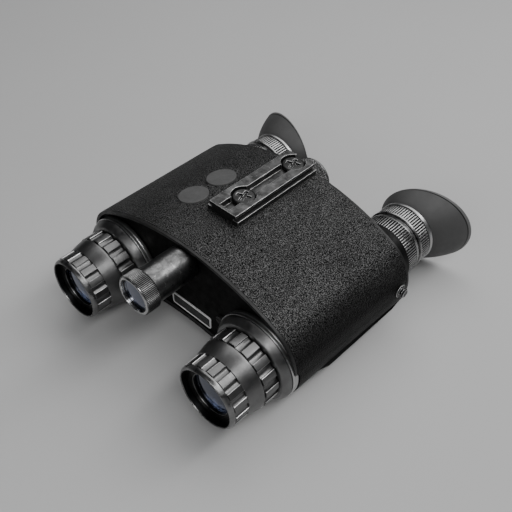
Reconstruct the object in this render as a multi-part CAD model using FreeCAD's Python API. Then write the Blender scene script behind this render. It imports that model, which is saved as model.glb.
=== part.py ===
import FreeCAD, Part
import math
import os

# Night-vision binoculars.  Millimetres.
# The parts are drawn about the two tube axes: Y runs from the objective rims (Y = 0) back to the
# eyecups, Z is up and Z = 0 is the height of the tube axes.  save() moves everything to the row frame,
# whose origin is under the middle of the binoculars on the surface they stand on.
# "left" is the wearer's left, which is +X.

TUBE_SPACING = 65.0          # between the tube axes, a common eye distance
AXIS_HEIGHT = 17.2           # tube axes above the surface
OVERALL_LENGTH = 117.85      # objective rims to the back of the eyecups

# housing
COVER_FRONT = 22.9
COVER_REAR = 79.9
WALL = 1.6
WRAP = 0.5                   # leatherette thickness
LIP = 0.9                    # bare lip of the cover at each end of the leatherette
LIP_INSET = 1.2              # the cover is this thin in front of the front plate
SEAT_R = 16.1                # the front lip is cut back round the collars to this radius
PARTING_Z = -6.5             # upper cover above, bottom cover below
BOTTOM_FRONT = 24.6
PLATE_FRONT = 25.0           # outer face of the front plate
PLATE_REAR = 78.9            # outer face of the rear plate
PLATE_THICK = 1.8
# outline of the housing at its two ends: (front, rear)
CROWN_Z = (26.75, 26.75)
SHOULDER_X = (32.0, 33.8)
SHOULDER_Z = (3.0, 1.7)
SHOULDER_R = (16.3, 16.05)
LOWER_X = (32.5, 33.1)
LOWER_R = (16.0, 16.75)
ARCH_Z = -10.9
ARCH_ANGLE = 32.0
BULGE_R = 17.3               # battery-side bulge of the bottom cover
BULGE = ((36.0, 0.0), (40.5, 1.0), (73.5, 1.0), (78.3, 0.0))   # (Y, share of the bulge)

# rail
RAIL_FRONT = 41.0
RAIL_REAR = 79.9
RAIL_TOP = 30.3
RAIL_HALF = 6.1
RAIL_NECK_HALF = 4.9
RAIL_BASE_HALF = 7.0
RAIL_LIP = 1.1
RAIL_BASE_TOP = 28.2
RAIL_SLOT_HALF = 2.2
RAIL_FLOOR = 28.0
POCKET_R = 4.4
RAIL_SCREW_Y = (51.0, 75.6)
RAIL_SCREW_HEAD_R = 4.1
RAIL_STOP = 1.1
BAR_Z = (23.7, 24.6)

# objectives
RIB_COUNT = 16
NOTCH_ANGLE = 10.5
NOTCH_DEPTH = 0.9
ROW_ONE = (2.0, 7.2, 11.6, 95.7)       # Y from, Y to, radius, angle of one notch
ROW_TWO = (13.2, 18.7, 13.2, 83.6)
SLEEVE_R = 11.0
MOUTH_DEPTH = 2.4            # back of the front bore that takes a cap or a slim filter
CELL_FRONT = 2.35
LIP_R = 7.3                  # clear radius of the lip that holds the front lens
SEAT_END = 7.7
CELL_BORE = 10.0
RUNNING = 0.06               # radial clearance of a running fit

# eyepieces
KNURL_TEETH = 74
KNURL_DEPTH = 0.28
EYE_SLEEVE_R = 10.3
EYE_BORE = 9.3
EYECUP_TILT = 16.6
EYECUP_WALL = 1.3
EYECUP_SEAT_Y = 104.3
EYECUP_SEAT_R = 11.5
EYECUP_NECK_R = 10.6
EYECUP_RIM_Y = 112.0
EYECUP_HALF_WIDTH = 17.35
EYECUP_OUTWARD = 2.85
EYECUP_HALF_HEIGHT = 15.2

# infra-red lamp
LAMP_Z = 18.9
LAMP_R = 6.2
LAMP_FRONT = 2.4
LAMP_RING_R = 7.0
LAMP_MOUTH_R = 5.75
LAMP_TEETH = 80

# controls and power
BUTTON_X = -16.6
BUTTON_Y = (43.6, 56.8)
BUTTON_R = 5.4
BATTERY_Z = 17.5
BATTERY_TUBE_R = 6.1
CELL_R = 5.25
CELL_LENGTH = 44.5
CAP_R = 7.5
CAP_REAR = 88.3
STUD_Y = 75.5
STUD_Z = 1.5


def point(x, y, z):
    return FreeCAD.Vector(x, y, z)


def save(name, shape):
    placed = shape.copy()
    placed.translate(point(0, -OVERALL_LENGTH / 2, AXIS_HEIGHT))
    placed.exportStep("parts/" + name + ".step")


def box(x0, x1, y0, y1, z0, z1):
    return Part.makeBox(x1 - x0, y1 - y0, z1 - z0, point(x0, y0, z0))


def rod(x, z, radius, y0, y1):
    return Part.makeCylinder(radius, y1 - y0, point(x, y0, z), point(0, 1, 0))


def post(x, y, radius, z0, z1):
    return Part.makeCylinder(radius, z1 - z0, point(x, y, z0), point(0, 0, 1))


def tube(x, z, outer, inner, y0, y1):
    return rod(x, z, outer, y0, y1).cut(rod(x, z, inner, y0 - 1, y1 + 1))


def turned(x, z, profile):
    """Solid turned about the Y axis through (x, z).  A station is (radius, y), or (radius, y, radius
    at the middle, y at the middle) when an arc leads to it."""
    edges = []
    last = profile[-1]
    for station in profile:
        start = point(x + last[0], last[1], z)
        end = point(x + station[0], station[1], z)
        if len(station) == 4:
            middle = point(x + station[2], station[3], z)
            edges.append(Part.Arc(start, middle, end).toShape())
        else:
            edges.append(Part.makeLine(start, end))
        last = station
    face = Part.Face(Part.Wire(edges))
    return face.revolve(point(x, 0, z), point(0, 1, 0), 360)


def knurled(x, z, radius, depth, teeth, y0, y1):
    """Straight-knurled rod."""
    corners = []
    for k in range(2 * teeth):
        angle = math.pi * k / teeth
        r = radius - depth * (k % 2)
        corners.append(point(x + r * math.cos(angle), y0, z + r * math.sin(angle)))
    corners.append(corners[0])
    return Part.Face(Part.makePolygon(corners)).extrude(point(0, y1 - y0, 0))


def notches(x, z, row):
    """Cutter for one row of notches round a focus ring."""
    y0, y1, radius, phase = row
    width = 2 * radius * math.sin(math.radians(NOTCH_ANGLE / 2))
    cutters = []
    for k in range(RIB_COUNT):
        cutter = box(x + radius - NOTCH_DEPTH, x + radius + 2, y0, y1, z - width / 2, z + width / 2)
        cutter.rotate(point(x, 0, z), point(0, -1, 0), phase + 360.0 * k / RIB_COUNT)
        cutters.append(cutter)
    return Part.makeCompound(cutters)


def mixed(pair, y):
    share = (y - COVER_FRONT) / (COVER_REAR - COVER_FRONT)
    return pair[0] + (pair[1] - pair[0]) * share


def outline(y, inset, bulge=0.0):
    """Closed outline of the housing at Y, moved inwards by inset; bulge swells the lower part."""
    sx = mixed(SHOULDER_X, y)
    sz = mixed(SHOULDER_Z, y)
    sr = mixed(SHOULDER_R, y)
    rise = mixed(CROWN_Z, y) - sz
    crown = (sx * sx + rise * rise - sr * sr) / (2 * (rise - sr))
    lean = math.atan2(sx, crown - rise)
    top = sz + rise - inset
    lx = mixed(LOWER_X, y)
    lr = mixed(LOWER_R, y) * (1 - bulge) + BULGE_R * bulge - inset
    sr = sr - inset
    turn = math.radians(ARCH_ANGLE)
    middle = math.pi / 4 - lean / 2

    def right(sign):
        tangent = point(sign * (sx + sr * math.sin(lean)), y, sz + sr * math.cos(lean))
        bend = point(sign * (sx + sr * math.cos(middle)), y, sz + sr * math.sin(middle))
        side = point(sign * (sx + sr), y, sz)
        low = point(sign * (lx + lr), y, 0)
        under = point(sign * (lx + lr * math.sin(turn)), y, -lr * math.cos(turn))
        foot = point(sign * (lx - lr * math.sin(turn)), y, -lr * math.cos(turn))
        return tangent, bend, side, low, under, foot

    t1, b1, s1, l1, u1, f1 = right(1)
    t2, b2, s2, l2, u2, f2 = right(-1)
    rise_of_arch = (mixed(LOWER_R, y) - inset - lr) * 0.6
    arch = point(0, y, ARCH_Z + inset + rise_of_arch)
    edges = [Part.Arc(t2, point(0, y, top), t1).toShape(), Part.Arc(t1, b1, s1).toShape(),
             Part.makeLine(s1, l1), Part.Arc(l1, u1, f1).toShape(), Part.Arc(f1, arch, f2).toShape(),
             Part.Arc(f2, u2, l2).toShape(), Part.makeLine(l2, s2), Part.Arc(s2, b2, t2).toShape()]
    return Part.Wire(edges)


def hull(y0, y1, inset):
    return Part.makeLoft([outline(y0, inset), outline(y1, inset)], True, True)


def screw_down(x, y, z, head_r, head_h, shank_r, length):
    """Round-headed cross-recess screw standing on z, shank downwards."""
    head = post(x, y, head_r, z, z + head_h)
    head = head.makeFillet(head_h * 0.45, [edge for edge in head.Edges if edge.BoundBox.ZMin > z + head_h / 2
                                           and len(edge.Vertexes) == 1])
    half = head_r * 0.62
    slot = head_r * 0.16
    depth = z + head_h * 0.45
    cross = box(x - half, x + half, y - slot, y + slot, depth, z + head_h + 1)
    cross = cross.fuse(box(x - slot, x + slot, y - half, y + half, depth, z + head_h + 1))
    cross.rotate(point(x, y, 0), point(0, 0, 1), 20)
    return head.cut(cross).fuse(post(x, y, shank_r, z - length, z))


def plate_screw(x, y, z, away):
    """Small pan-head screw along Y; its head stands on y and points to away (+1 or -1)."""
    head = rod(x, z, 1.7, min(y, y + 0.9 * away), max(y, y + 0.9 * away))
    shank = rod(x, z, 0.8, min(y, y - 3.4 * away), max(y, y - 3.4 * away))
    slot = box(x - 1.8, x + 1.8, min(y + 0.5 * away, y + 1.5 * away), max(y + 0.5 * away, y + 1.5 * away),
               z - 0.2, z + 0.2)
    return head.fuse(shank).cut(slot)


def tilted(shape):
    """Move a shape drawn on the centre line to the sloping crown under the buttons."""
    rise = CROWN_Z[0] - SHOULDER_Z[0]
    crown = (SHOULDER_X[0] ** 2 + rise ** 2 - SHOULDER_R[0] ** 2) / (2 * (rise - SHOULDER_R[0]))
    lean = math.degrees(math.asin(BUTTON_X / crown))
    placed = shape.copy()
    placed.rotate(point(0, 0, CROWN_Z[0] - crown), point(0, 1, 0), lean)
    return placed


def crown_at(y):
    return mixed(CROWN_Z, y)


def build_housing(cut_sides):
    """Covers, wrap, plates and chassis.  cut_sides removes the openings for the tubes."""
    outer = hull(COVER_FRONT, COVER_REAR, WRAP)
    front_lip = hull(COVER_FRONT, COVER_REAR, 0.05).common(
        box(-60, 60, COVER_FRONT, COVER_FRONT + LIP, -40, 40))
    rear_lip = hull(COVER_FRONT, COVER_REAR, 0.05).common(
        box(-60, 60, COVER_REAR - LIP, COVER_REAR, -40, 40))
    inside = hull(COVER_FRONT - 0.5, COVER_REAR + 0.5, WRAP + WALL)
    mouth = hull(COVER_FRONT, COVER_REAR, LIP_INSET).common(box(-60, 60, 0, PLATE_FRONT, -40, 40))
    seats = rod(TUBE_SPACING / 2, 0, SEAT_R, 20, PLATE_FRONT)
    seats = seats.fuse(rod(-TUBE_SPACING / 2, 0, SEAT_R, 20, PLATE_FRONT))
    upper = outer.fuse([front_lip, rear_lip]).cut(inside).cut(mouth).cut(seats)
    upper = upper.common(box(-60, 60, 0, 120, PARTING_Z, 40))
    wrap = hull(COVER_FRONT, COVER_REAR, 0.0).cut(hull(COVER_FRONT - 0.5, COVER_REAR + 0.5, WRAP - 0.02))
    wrap = wrap.cut(seats)
    wrap = wrap.common(box(-60, 60, COVER_FRONT + LIP + 0.1, COVER_REAR - LIP - 0.1, PARTING_Z + 0.1, 40))
    for y in BUTTON_Y:
        drill = tilted(post(0, y, BUTTON_R + 0.15, 20, 30))
        upper = upper.cut(drill)
        wrap = wrap.cut(drill)
    for y in RAIL_SCREW_Y:
        upper = upper.cut(post(0, y, 1.6, 20, 30))
        wrap = wrap.cut(post(0, y, 1.6, 20, 30))
    stud_hole = Part.makeCylinder(1.3, 8, point(45, STUD_Y, STUD_Z), point(1, 0, 0))
    stud_seat = Part.makeCylinder(2.6, 8, point(49.2, STUD_Y, STUD_Z), point(1, 0, 0))
    for side in (1, -1):
        for cutter in (stud_hole, stud_seat):
            placed = cutter
            if side < 0:
                placed = cutter.mirror(point(0, 0, 0), point(1, 0, 0))
            upper = upper.cut(placed)
            wrap = wrap.cut(placed)
    save("upper_cover", upper)
    save("leatherette_wrap", wrap)

    lower = hull(COVER_FRONT, COVER_REAR, 0.0).common(box(-60, 60, BOTTOM_FRONT, COVER_REAR, -40, PARTING_Z))
    swell = Part.makeLoft([outline(y, 0.0, share) for y, share in BULGE], True, True)
    swell = swell.common(box(-60, 60, 0, 120, -AXIS_HEIGHT, PARTING_Z))
    lower = lower.fuse(swell).cut(hull(COVER_FRONT - 0.5, COVER_REAR + 0.5, WRAP + WALL)).cut(seats)
    for x, y in bottom_screw_places():
        lower = lower.cut(post(x, y, 1.1, -20, 0))
        lower = lower.cut(post(x, y, 2.1, -20, ARCH_Z + 0.55))
    save("bottom_cover", lower)

    inner = hull(COVER_FRONT, COVER_REAR, WRAP + WALL + 0.05)
    front = inner.common(box(-60, 60, PLATE_FRONT, PLATE_FRONT + PLATE_THICK, -40, 40))
    front = front.cut(cut_sides).cut(rod(0, LAMP_Z, 4.1, 20, 40))
    rear = inner.common(box(-60, 60, PLATE_REAR - PLATE_THICK, PLATE_REAR, -40, 40))
    rear = rear.cut(cut_sides).cut(rod(0, BATTERY_Z, BATTERY_TUBE_R + 0.05, 70, 90))
    for x, z in plate_screw_places():
        front = front.cut(rod(x, z, 0.85, 20, 30))
        rear = rear.cut(rod(x, z, 0.85, 70, 90))
    save("front_plate", front)
    save("rear_plate", rear)

    front_face = PLATE_FRONT + PLATE_THICK
    rear_face = PLATE_REAR - PLATE_THICK
    chassis = box(-17, 17, front_face, rear_face, -6.4, -5.2)
    for y in (front_face, rear_face - 2.0):
        chassis = chassis.fuse(box(-17, 17, y, y + 2.0, -8.5, 3.0))
    for x, y in bottom_screw_places():
        chassis = chassis.fuse(post(x, y, 2.2, -8.7, -5.2)).cut(post(x, y, 0.85, -9.5, -4.0))
    for x in (-12, 12):
        for y in (34.0, 70.0):
            chassis = chassis.fuse(post(x, y, 1.5, -5.2, -2.0))
    for x, z in plate_screw_places():
        chassis = chassis.cut(rod(x, z, 0.85, 20, 90))
    save("chassis", chassis)

    screws = [bottom_screw(x, y) for x, y in bottom_screw_places()]
    save("bottom_screws", Part.makeCompound(screws))
    front_screws = [plate_screw(x, PLATE_FRONT, z, -1) for x, z in plate_screw_places()]
    rear_screws = [plate_screw(x, PLATE_REAR, z, 1) for x, z in plate_screw_places()]
    save("plate_screws", Part.makeCompound(front_screws + rear_screws))

    badge = box(-9.5, 9.5, PLATE_FRONT - 0.5, PLATE_FRONT, -7.6, -2.4)
    badge = badge.makeFillet(0.9, [edge for edge in badge.Edges if abs(edge.Length - 0.5) < 1e-6])
    save("badge", badge)

    studs = []
    for side in (1, -1):
        stud = Part.makeCylinder(2.5, 0.7, point(49.25, STUD_Y, STUD_Z), point(1, 0, 0))
        stud = stud.fuse(Part.makeCylinder(1.2, 1.3, point(49.9, STUD_Y, STUD_Z), point(1, 0, 0)))
        stud = stud.fuse(Part.makeCone(1.9, 1.4, 0.8, point(51.0, STUD_Y, STUD_Z), point(1, 0, 0)))
        stud = stud.fuse(Part.makeCylinder(1.2, 4.0, point(46.0, STUD_Y, STUD_Z), point(1, 0, 0)))
        if side < 0:
            stud = stud.mirror(point(0, 0, 0), point(1, 0, 0))
        studs.append(stud)
    save("strap_studs", Part.makeCompound(studs))


def bottom_screw_places():
    return [(x, y) for x in (-12.0, 12.0) for y in (31.5, 72.5)]


def plate_screw_places():
    return [(x, z) for x in (-14.5, 14.5) for z in (-7.7, 1.2)]


def bottom_screw(x, y):
    head = post(x, y, 2.0, ARCH_Z - 0.5, ARCH_Z + 0.5)
    shank = post(x, y, 0.8, ARCH_Z + 0.4, -5.0)
    slot = box(x - 1.4, x + 1.4, y - 0.25, y + 0.25, ARCH_Z - 1, ARCH_Z)
    return head.fuse(shank).cut(slot)


def build_rail():
    y0 = RAIL_FRONT
    y1 = RAIL_REAR
    base = box(-RAIL_BASE_HALF, RAIL_BASE_HALF, y0, y1, 20, RAIL_BASE_TOP)
    base = base.cut(hull(COVER_FRONT, COVER_REAR, -0.02))
    neck = box(-RAIL_NECK_HALF, RAIL_NECK_HALF, y0, y1, RAIL_BASE_TOP - 0.2, RAIL_TOP)
    lip_z = RAIL_TOP - RAIL_LIP
    flare = [(-RAIL_NECK_HALF, lip_z - 0.6), (-RAIL_HALF, lip_z), (-RAIL_HALF, RAIL_TOP),
             (RAIL_HALF, RAIL_TOP), (RAIL_HALF, lip_z), (RAIL_NECK_HALF, lip_z - 0.6)]
    corners = [point(x, y0, z) for x, z in flare]
    corners.append(corners[0])
    top = Part.Face(Part.makePolygon(corners)).extrude(point(0, y1 - y0, 0))
    rail = base.fuse([neck, top])
    rail = rail.cut(box(-RAIL_SLOT_HALF, RAIL_SLOT_HALF, y0 + RAIL_STOP, y1 + 1, RAIL_FLOOR, RAIL_TOP + 1))
    for y in RAIL_SCREW_Y:
        rail = rail.cut(post(0, y, POCKET_R, RAIL_FLOOR, RAIL_TOP + 1))
        rail = rail.cut(post(0, y, 1.6, 20, RAIL_TOP))
    save("mounting_rail", rail.removeSplitter())

    shanks = [screw_down(0, y, RAIL_FLOOR, RAIL_SCREW_HEAD_R, 1.7, 1.45, RAIL_FLOOR - BAR_Z[0])
              for y in RAIL_SCREW_Y]
    save("rail_screws", Part.makeCompound(shanks))
    bar = box(-4.5, 4.5, RAIL_SCREW_Y[0] - 5, RAIL_SCREW_Y[1] + 1.4, BAR_Z[0], BAR_Z[1])
    bar = bar.common(hull(COVER_FRONT, COVER_REAR, WRAP + WALL + 0.02))
    for y in RAIL_SCREW_Y:
        bar = bar.cut(post(0, y, 1.5, 20, 30))
    save("rail_backing_bar", bar)


def build_controls():
    for name, y in (("front_button", BUTTON_Y[0]), ("rear_button", BUTTON_Y[1])):
        surface = crown_at(y)
        cap = post(0, y, BUTTON_R, surface - 2.9, surface + 0.35)
        cap = cap.makeFillet(0.25, [edge for edge in cap.Edges if edge.BoundBox.ZMin > surface
                                    and len(edge.Vertexes) == 1])
        flange = post(0, y, BUTTON_R + 0.9, surface - 3.4, surface - 2.85)
        stem = post(0, y, 1.2, surface - 3.7, surface - 2.3)
        save(name, tilted(cap.fuse([flange, stem])))
    switches = []
    for y in BUTTON_Y:
        surface = crown_at(y)
        case = box(-2.3, 2.3, y - 2.3, y + 2.3, surface - 6.4, surface - 5.0)
        switches.append(tilted(case.fuse(post(0, y, 1.1, surface - 5.0, surface - 4.65))))
    save("dome_switches", Part.makeCompound(switches))
    low = crown_at(BUTTON_Y[0]) - 6.4
    board = tilted(box(-4.6, 4.6, BUTTON_Y[0] - 6, BUTTON_Y[1] + 6, low - 1.0, low))
    save("button_board", board)

    panel = box(-15.5, 15.5, 32.0, 72.0, -2.0, -0.6)
    packs = [box(-9, 9, 36, 50, -0.6, 5.4), box(-12, -4, 55, 66, -0.6, 1.6), box(2, 7, 54, 59, -0.6, 0.8),
             post(10.5, 64, 2.4, -0.6, 6.0), box(3, 8, 62, 69, -0.6, 1.2)]
    save("control_board", panel.fuse(packs))


def build_power():
    sleeve = tube(0, BATTERY_Z, BATTERY_TUBE_R, 5.5, 30.0, 83.0)
    sleeve = sleeve.fuse(rod(0, BATTERY_Z, BATTERY_TUBE_R, 29.0, 30.2))
    save("battery_tube", sleeve)
    cell_front = 80.2 - CELL_LENGTH
    cell = rod(0, BATTERY_Z, CELL_R, cell_front + 1.0, 80.2)
    save("battery_cell", cell.fuse(rod(0, BATTERY_Z, 1.9, cell_front, cell_front + 1.0)))
    turns = 4
    helix = Part.makeHelix((cell_front - 30.6) / turns, cell_front - 30.6, 3.0)
    helix.rotate(point(0, 0, 0), point(1, 0, 0), -90)
    helix.translate(point(0, 30.5, BATTERY_Z))
    ring = Part.Wire(Part.makeCircle(0.28, point(3.0, 30.5, BATTERY_Z), point(0, 0, 1)))
    save("battery_spring", Part.Wire(helix.Edges).makePipeShell([ring], True, True))
    bore = BATTERY_TUBE_R + 0.1
    grip = turned(0, BATTERY_Z, [(bore, 80.1), (7.2, 80.1), (CAP_R, 80.5), (CAP_R, 87.6), (6.9, CAP_REAR),
                                 (4.6, CAP_REAR), (4.2, 87.7), (0.001, 87.7), (0.001, 84.6), (bore, 84.6)])
    save("battery_cap", grip.fuse(rod(0, BATTERY_Z, 3.2, 80.5, 84.7)))


def build_lamp():
    rear = PLATE_FRONT
    barrel = turned(0, LAMP_Z, [(4.2, 4.6), (5.5, 4.6), (5.5, 8.1), (LAMP_R, 8.1), (LAMP_R, rear - 2.4),
                                (LAMP_R - 1.8, rear - 0.02, LAMP_R - 0.55, rear - 0.6), (4.0, rear - 0.02),
                                (4.0, 28.5), (2.6, 28.5), (2.6, 20.0), (4.2, 20.0)])
    save("lamp_barrel", barrel)
    front = LAMP_FRONT
    ring = knurled(0, LAMP_Z, LAMP_RING_R, 0.3, LAMP_TEETH, front + 0.5, front + 5.4)
    ring = ring.fuse(turned(0, LAMP_Z, [(5.0, front + 0.3), (6.1, front), (6.6, front),
                                        (LAMP_RING_R - 0.1, front + 0.5), (LAMP_RING_R - 0.3, front + 0.6),
                                        (LAMP_RING_R - 0.3, front + 5.4), (5.0, front + 5.4)]))
    ring = ring.cut(rod(0, LAMP_Z, 5.5 + RUNNING, front - 1, front + 6))
    ring = ring.cut(rod(0, LAMP_Z, LAMP_MOUTH_R, front - 1, front + 2.1))
    save("lamp_focus_ring", ring)
    tail = 4.2 - RUNNING
    disc = LAMP_MOUTH_R - 0.08
    cell = turned(0, LAMP_Z, [(5.3, front + 1.1), (disc, front + 1.1), (disc, front + 2.0),
                              (tail, front + 2.0), (tail, 10.0), (3.6, 10.0), (3.6, front + 1.8),
                              (5.3, front + 1.8)])
    save("lamp_lens_cell", cell)
    lens = turned(0, LAMP_Z, [(0.001, front + 0.8), (5.28, front + 1.2, 2.7, front + 0.9),
                              (5.28, front + 1.78), (0.001, front + 1.78)])
    save("lamp_lens", lens)
    led = rod(0, LAMP_Z, 2.5, 15.5, 22.0).fuse(rod(0, LAMP_Z, 1.6, 13.6, 15.6))
    save("lamp_led", led)


def build_side(name, x):
    sleeve_bore = CELL_BORE + RUNNING
    collar = turned(x, 0, [(sleeve_bore, 9.0), (SLEEVE_R, 9.0), (SLEEVE_R, 19.1), (14.0, 19.1),
                           (15.9, 22.6, 15.1, 20.6), (15.9, 23.2), (12.4, 23.2), (12.4, 29.6),
                           (sleeve_bore, 29.6)])
    save("collar_" + name, collar)
    save("trim_ring_" + name, turned(x, 0, [(12.45, 23.2), (15.5, 23.2), (15.8, 23.5), (15.8, 24.6),
                                            (15.2, 24.95), (12.45, 24.95)]))
    y0, y1, low, _ = ROW_ONE
    y2, y3, high, _ = ROW_TWO
    ring = turned(x, 0, [(10.3, 0.8), (10.9, 0.1, 10.5, 0.25), (11.5, 0.7, 11.35, 0.2), (11.5, y0 - 0.35),
                         (11.25, y0 - 0.2), (11.25, y0), (low, y0), (low, y1), (12.9, y2 - 0.6, 12.55, 10.4),
                         (12.7, y2 - 0.2), (12.4, y2 - 0.2), (12.4, y2), (high - 0.25, y2), (high, y2 + 0.3),
                         (high, y3 - 0.3), (high - 0.3, y3), (SLEEVE_R + RUNNING, y3),
                         (SLEEVE_R + RUNNING, 8.6), (10.1, 8.6), (10.1, MOUTH_DEPTH), (10.3, MOUTH_DEPTH)])
    ring = ring.cut(notches(x, 0, ROW_ONE)).cut(notches(x, 0, ROW_TWO))
    save("focus_ring_" + name, ring)
    lip_back = CELL_FRONT + 0.85
    cell = turned(x, 0, [(LIP_R, CELL_FRONT), (CELL_BORE, CELL_FRONT), (CELL_BORE, 27.0), (8.0, 27.0),
                         (8.0, SEAT_END), (9.0, SEAT_END), (9.0, lip_back), (LIP_R, lip_back)])
    save("objective_cell_" + name, cell)
    vertex = CELL_FRONT + 0.1
    rim = vertex + 1.3
    lens_back = SEAT_END - 0.3
    save("front_lens_" + name, turned(x, 0, [(0.001, vertex), (8.95, rim, 4.6, vertex + 0.34),
                                             (8.95, rim + 2.1), (0.001, lens_back, 4.6, lens_back - 0.4)]))
    save("rear_lens_" + name, turned(x, 0, [(0.001, 18.0), (7.95, 19.6, 4.0, 18.4), (7.95, 22.2),
                                            (0.001, 21.4)]))
    case = tube(x, 0, 12.0, 10.0, 31.0, 63.0)
    case = case.fuse(tube(x, 0, 10.0, 7.5, 33.0, 61.0)).fuse(tube(x, 0, 12.6, 12.0, 35.0, 38.0))
    save("intensifier_case_" + name, case)
    save("phosphor_screen_" + name, rod(x, 0, 9.95, 61.0, 62.8))

    housing = turned(x, 0, [(EYE_BORE + RUNNING, 66.0), (12.2, 66.0), (12.2, 79.25), (12.9, 79.25),
                            (13.1, 79.5), (13.1, 86.9), (12.6, 87.5), (EYE_SLEEVE_R, 87.5),
                            (EYE_SLEEVE_R, 103.0), (EYE_BORE + RUNNING, 103.0)])
    save("eyepiece_housing_" + name, housing)
    grip_bore = EYE_SLEEVE_R + RUNNING
    dioptre = knurled(x, 0, 11.9, KNURL_DEPTH, KNURL_TEETH, 88.2, 93.7)
    dioptre = dioptre.fuse(turned(x, 0, [(grip_bore, 87.8), (11.4, 87.8), (11.6, 88.2), (11.6, 93.7),
                                         (11.9, 93.9), (11.3, 95.8), (grip_bore, 95.8)]))
    save("dioptre_ring_" + name, dioptre.cut(rod(x, 0, grip_bore, 80, 100)))
    lock = knurled(x, 0, 11.7, KNURL_DEPTH, KNURL_TEETH, 97.0, 102.1)
    lock = lock.fuse(turned(x, 0, [(grip_bore, 96.1), (11.8, 96.1), (12.0, 96.3), (12.0, 96.8), (11.4, 97.0),
                                   (11.4, 102.1), (grip_bore, 102.1)]))
    save("eyecup_lock_ring_" + name, lock.cut(rod(x, 0, grip_bore, 90, 110)))
    seat = turned(x, 0, [(EYE_SLEEVE_R, 102.4), (11.6, 102.4), (11.85, 102.7), (11.85, 103.6), (11.5, 103.9),
                         (EYECUP_NECK_R, 103.9), (EYECUP_NECK_R, 107.4), (9.0, 107.4), (9.0, 103.05),
                         (EYE_SLEEVE_R, 103.05)])
    save("eyecup_seat_" + name, seat)
    inner = turned(x, 0, [(8.0, 84.0), (EYE_BORE, 84.0), (EYE_BORE, 101.4), (8.6, 101.4), (8.6, 95.0),
                          (8.0, 95.0)])
    save("eyepiece_cell_" + name, inner)
    save("field_lens_" + name, turned(x, 0, [(0.001, 85.2), (7.95, 86.2, 4.0, 85.4), (7.95, 88.4),
                                             (0.001, 88.8)]))
    save("eye_lens_" + name, turned(x, 0, [(0.001, 95.8), (8.5, 97.4, 4.3, 96.2), (8.5, 99.8),
                                           (0.001, 101.6, 4.3, 101.1)]))
    save("eyecup_" + name, eyecup(x))


def eyecup(x):
    """Rubber funnel, round at its seat and a slanted oval at its rim, which reaches further outwards."""
    side = 1 if x > 0 else -1

    def station(share, inset, beyond=0.0):
        grow = share ** 0.8
        y = EYECUP_SEAT_Y + (EYECUP_RIM_Y - EYECUP_SEAT_Y) * share + beyond
        wide = EYECUP_SEAT_R + (EYECUP_HALF_WIDTH - EYECUP_SEAT_R) * grow - inset
        high = EYECUP_SEAT_R + (EYECUP_HALF_HEIGHT - EYECUP_SEAT_R) * grow - inset
        ellipse = Part.Ellipse(point(0, 0, 0), wide, high)
        ring = ellipse.toShape()
        ring.rotate(point(0, 0, 0), point(1, 0, 0), 90)
        ring.translate(point(side * EYECUP_OUTWARD * grow, 0, 0))
        ring.rotate(point(0, 0, 0), point(0, 0, 1), side * EYECUP_TILT * share)
        ring.translate(point(x, y, 0))
        return Part.Wire([ring])

    shares = [k / 6.0 for k in range(7)]
    outer = Part.makeLoft([station(share, 0.0) for share in shares], True, True)
    hollow = [station(0.0, EYECUP_WALL, -0.5)] + [station(share, EYECUP_WALL) for share in shares]
    hollow = Part.makeLoft(hollow + [station(1.0, EYECUP_WALL, 0.8)], True, True)
    band = tube(x, 0, EYECUP_SEAT_R, EYECUP_NECK_R + RUNNING, EYECUP_SEAT_Y - 0.2, EYECUP_SEAT_Y + 2.8)
    neck = rod(x, 0, EYECUP_NECK_R + RUNNING, EYECUP_SEAT_Y - 1, EYECUP_SEAT_Y + 3.2)
    return outer.cut(hollow).fuse(band).cut(neck)


os.makedirs("parts", exist_ok=True)
half = TUBE_SPACING / 2
openings = rod(half, 0, 12.5, 20, 30).fuse([rod(-half, 0, 12.5, 20, 30), rod(half, 0, 12.3, 70, 90),
                                            rod(-half, 0, 12.3, 70, 90)])
build_housing(openings)
build_rail()
build_controls()
build_power()
build_lamp()
build_side("left", half)
build_side("right", -half)
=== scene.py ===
import math

import bmesh
import bpy
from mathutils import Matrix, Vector


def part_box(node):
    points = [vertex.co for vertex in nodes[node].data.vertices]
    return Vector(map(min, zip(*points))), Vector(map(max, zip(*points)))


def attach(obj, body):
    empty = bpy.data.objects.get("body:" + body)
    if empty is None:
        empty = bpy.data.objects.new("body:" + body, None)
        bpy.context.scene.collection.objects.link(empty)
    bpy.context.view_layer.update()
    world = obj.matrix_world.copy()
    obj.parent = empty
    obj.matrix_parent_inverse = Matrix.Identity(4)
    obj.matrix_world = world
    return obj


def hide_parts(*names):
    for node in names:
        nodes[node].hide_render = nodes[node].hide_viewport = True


# Night-vision binoculars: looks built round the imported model.
# Shapes are drawn in millimetres about the tube axes: Y runs back from the objective rims, Z = 0 is the
# height of the axes.  place() moves a point into the row frame, in metres.

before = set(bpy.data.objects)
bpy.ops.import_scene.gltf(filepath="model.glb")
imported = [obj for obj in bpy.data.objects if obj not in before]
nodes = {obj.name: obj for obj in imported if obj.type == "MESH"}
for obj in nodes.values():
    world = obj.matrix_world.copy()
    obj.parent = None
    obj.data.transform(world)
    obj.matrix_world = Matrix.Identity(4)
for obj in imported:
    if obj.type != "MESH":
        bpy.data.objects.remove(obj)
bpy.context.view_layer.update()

MM = 0.001
SIDES = (("left", 1), ("right", -1))
ring_low, ring_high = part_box("collar_left")
AXIS_X = (ring_low.x + ring_high.x) / 2 / MM
AXIS_Z = (ring_low.z + ring_high.z) / 2
RIM_SETBACK = 0.1                       # the focus ring starts this far behind Y = 0
FRONT_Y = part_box("focus_ring_left")[0].y - RIM_SETBACK * MM
TAU = 2 * math.pi


def place(x, y, z):
    return Vector((x * MM, y * MM + FRONT_Y, z * MM + AXIS_Z))


# ---------------------------------------------------------------- materials

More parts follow.
